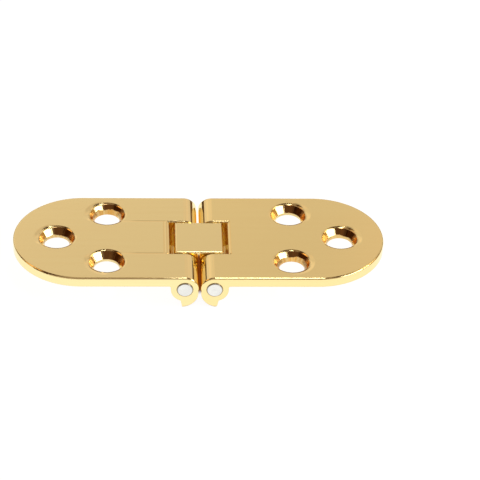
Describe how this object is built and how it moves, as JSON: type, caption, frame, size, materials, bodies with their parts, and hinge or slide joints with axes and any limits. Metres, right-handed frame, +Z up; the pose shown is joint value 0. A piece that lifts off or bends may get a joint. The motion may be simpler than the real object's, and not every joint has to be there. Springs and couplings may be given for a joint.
{
  "type": "table hinge",
  "caption": "Flush flap hinge for a table top: two round-ended leaves with countersunk screw holes fold face to face on pins in a centre link.",
  "frame": {"origin": "under the middle of the open hinge, on the surface that its cam tips stand on", "axes": "+X along the length towards the right leaf, +Y along the pins, +Z up out of the top faces"},
  "size_m": [0.078, 0.0294, 0.0073],
  "materials": {
    "gold_casting": "polished gold plate",
    "gold_link": "polished gold plate",
    "steel_pin": "cut and deburred"
  },
  "bodies": {
    "left_leaf": {"left_leaf": "gold_casting", "left_pin": "steel_pin"},
    "link": {"link": "gold_link"},
    "right_leaf": {"right_leaf": "gold_casting", "right_pin": "steel_pin"}
  },
  "joints": [
    {"name": "left_pin_turn", "type": "hinge", "parent": "left_leaf", "child": "link", "pos_m": [-0.00308, 0, 0.00439], "axis": [0, -1, 0], "range_deg": [0, 90]},
    {"name": "right_pin_turn", "type": "hinge", "parent": "link", "child": "right_leaf", "pos_m": [0.00308, 0, 0.00439], "axis": [0, -1, 0], "range_deg": [0, 90]}
  ]
}
